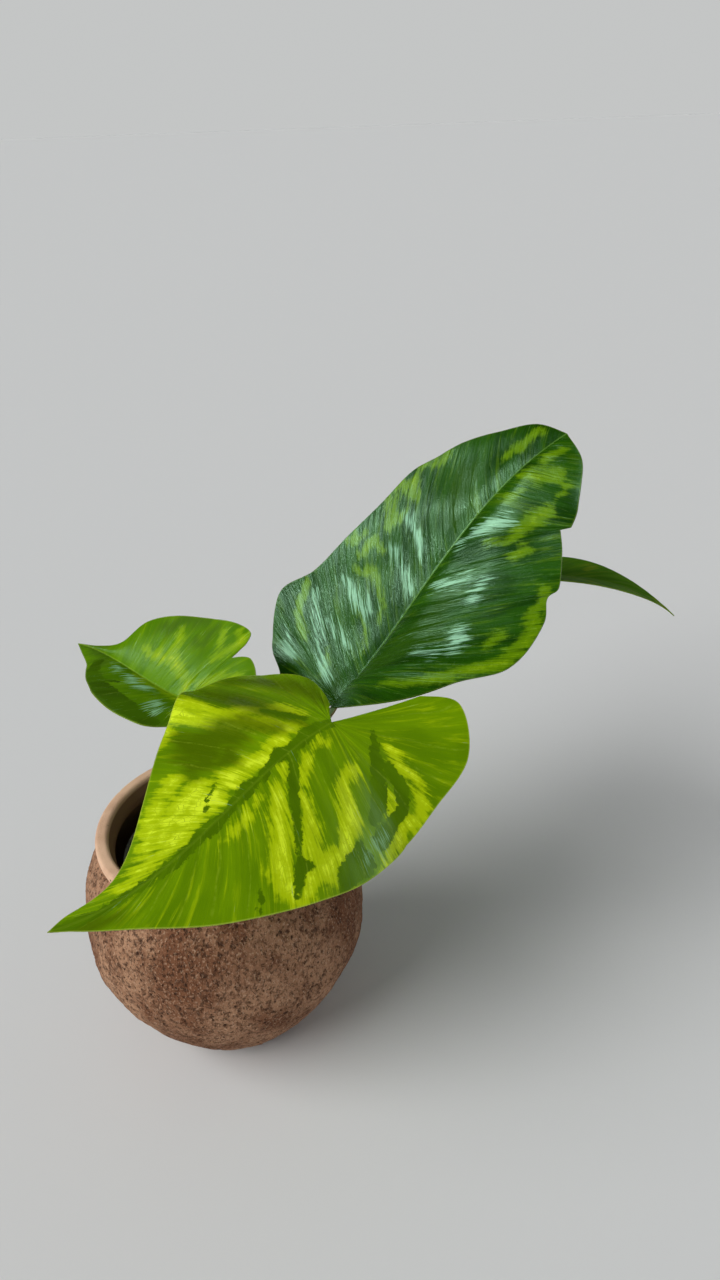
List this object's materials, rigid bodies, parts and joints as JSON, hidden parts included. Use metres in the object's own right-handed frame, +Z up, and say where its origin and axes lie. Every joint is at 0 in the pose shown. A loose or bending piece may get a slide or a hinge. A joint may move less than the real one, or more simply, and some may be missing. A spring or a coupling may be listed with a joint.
{
  "type": "potted jungle star pothos",
  "caption": "Young variegated pothos with waved heart-shaped leaves on arching petioles, growing in a nursery pot inside a round-bellied stoneware cache pot.",
  "frame": {"origin": "centre of the pot's flat foot", "axes": "+Z up along the pot's axis, -Y the front, +X to the viewer's right"},
  "size_m": [0.3072, 0.2326, 0.2675],
  "materials": {
    "stoneware": "coarse unglazed body with dark pits, smooth rim",
    "nursery_plastic": "dull dark plastic",
    "potting_soil": "crumbly dark potting mix",
    "stem_green": "smooth green stem",
    "petiole_green": "smooth waxy green",
    "leaf_lime": "waxy leaf, lime with mid and dark green streaks",
    "leaf_mid": "waxy leaf, mid green with lime patches",
    "leaf_dark": "glossy leaf, dark green with lime and silvery streaks"
  },
  "bodies": {
    "root": {"pot": "stoneware", "nursery_pot": "nursery_plastic", "soil": "potting_soil", "stem": "stem_green", "petiole_front": "petiole_green", "petiole_upper": "petiole_green", "petiole_left": "petiole_green", "petiole_right": "petiole_green", "leaf_front": "leaf_lime", "leaf_upper": "leaf_dark", "leaf_left": "leaf_mid", "leaf_right": "leaf_dark"}
  },
  "joints": []
}
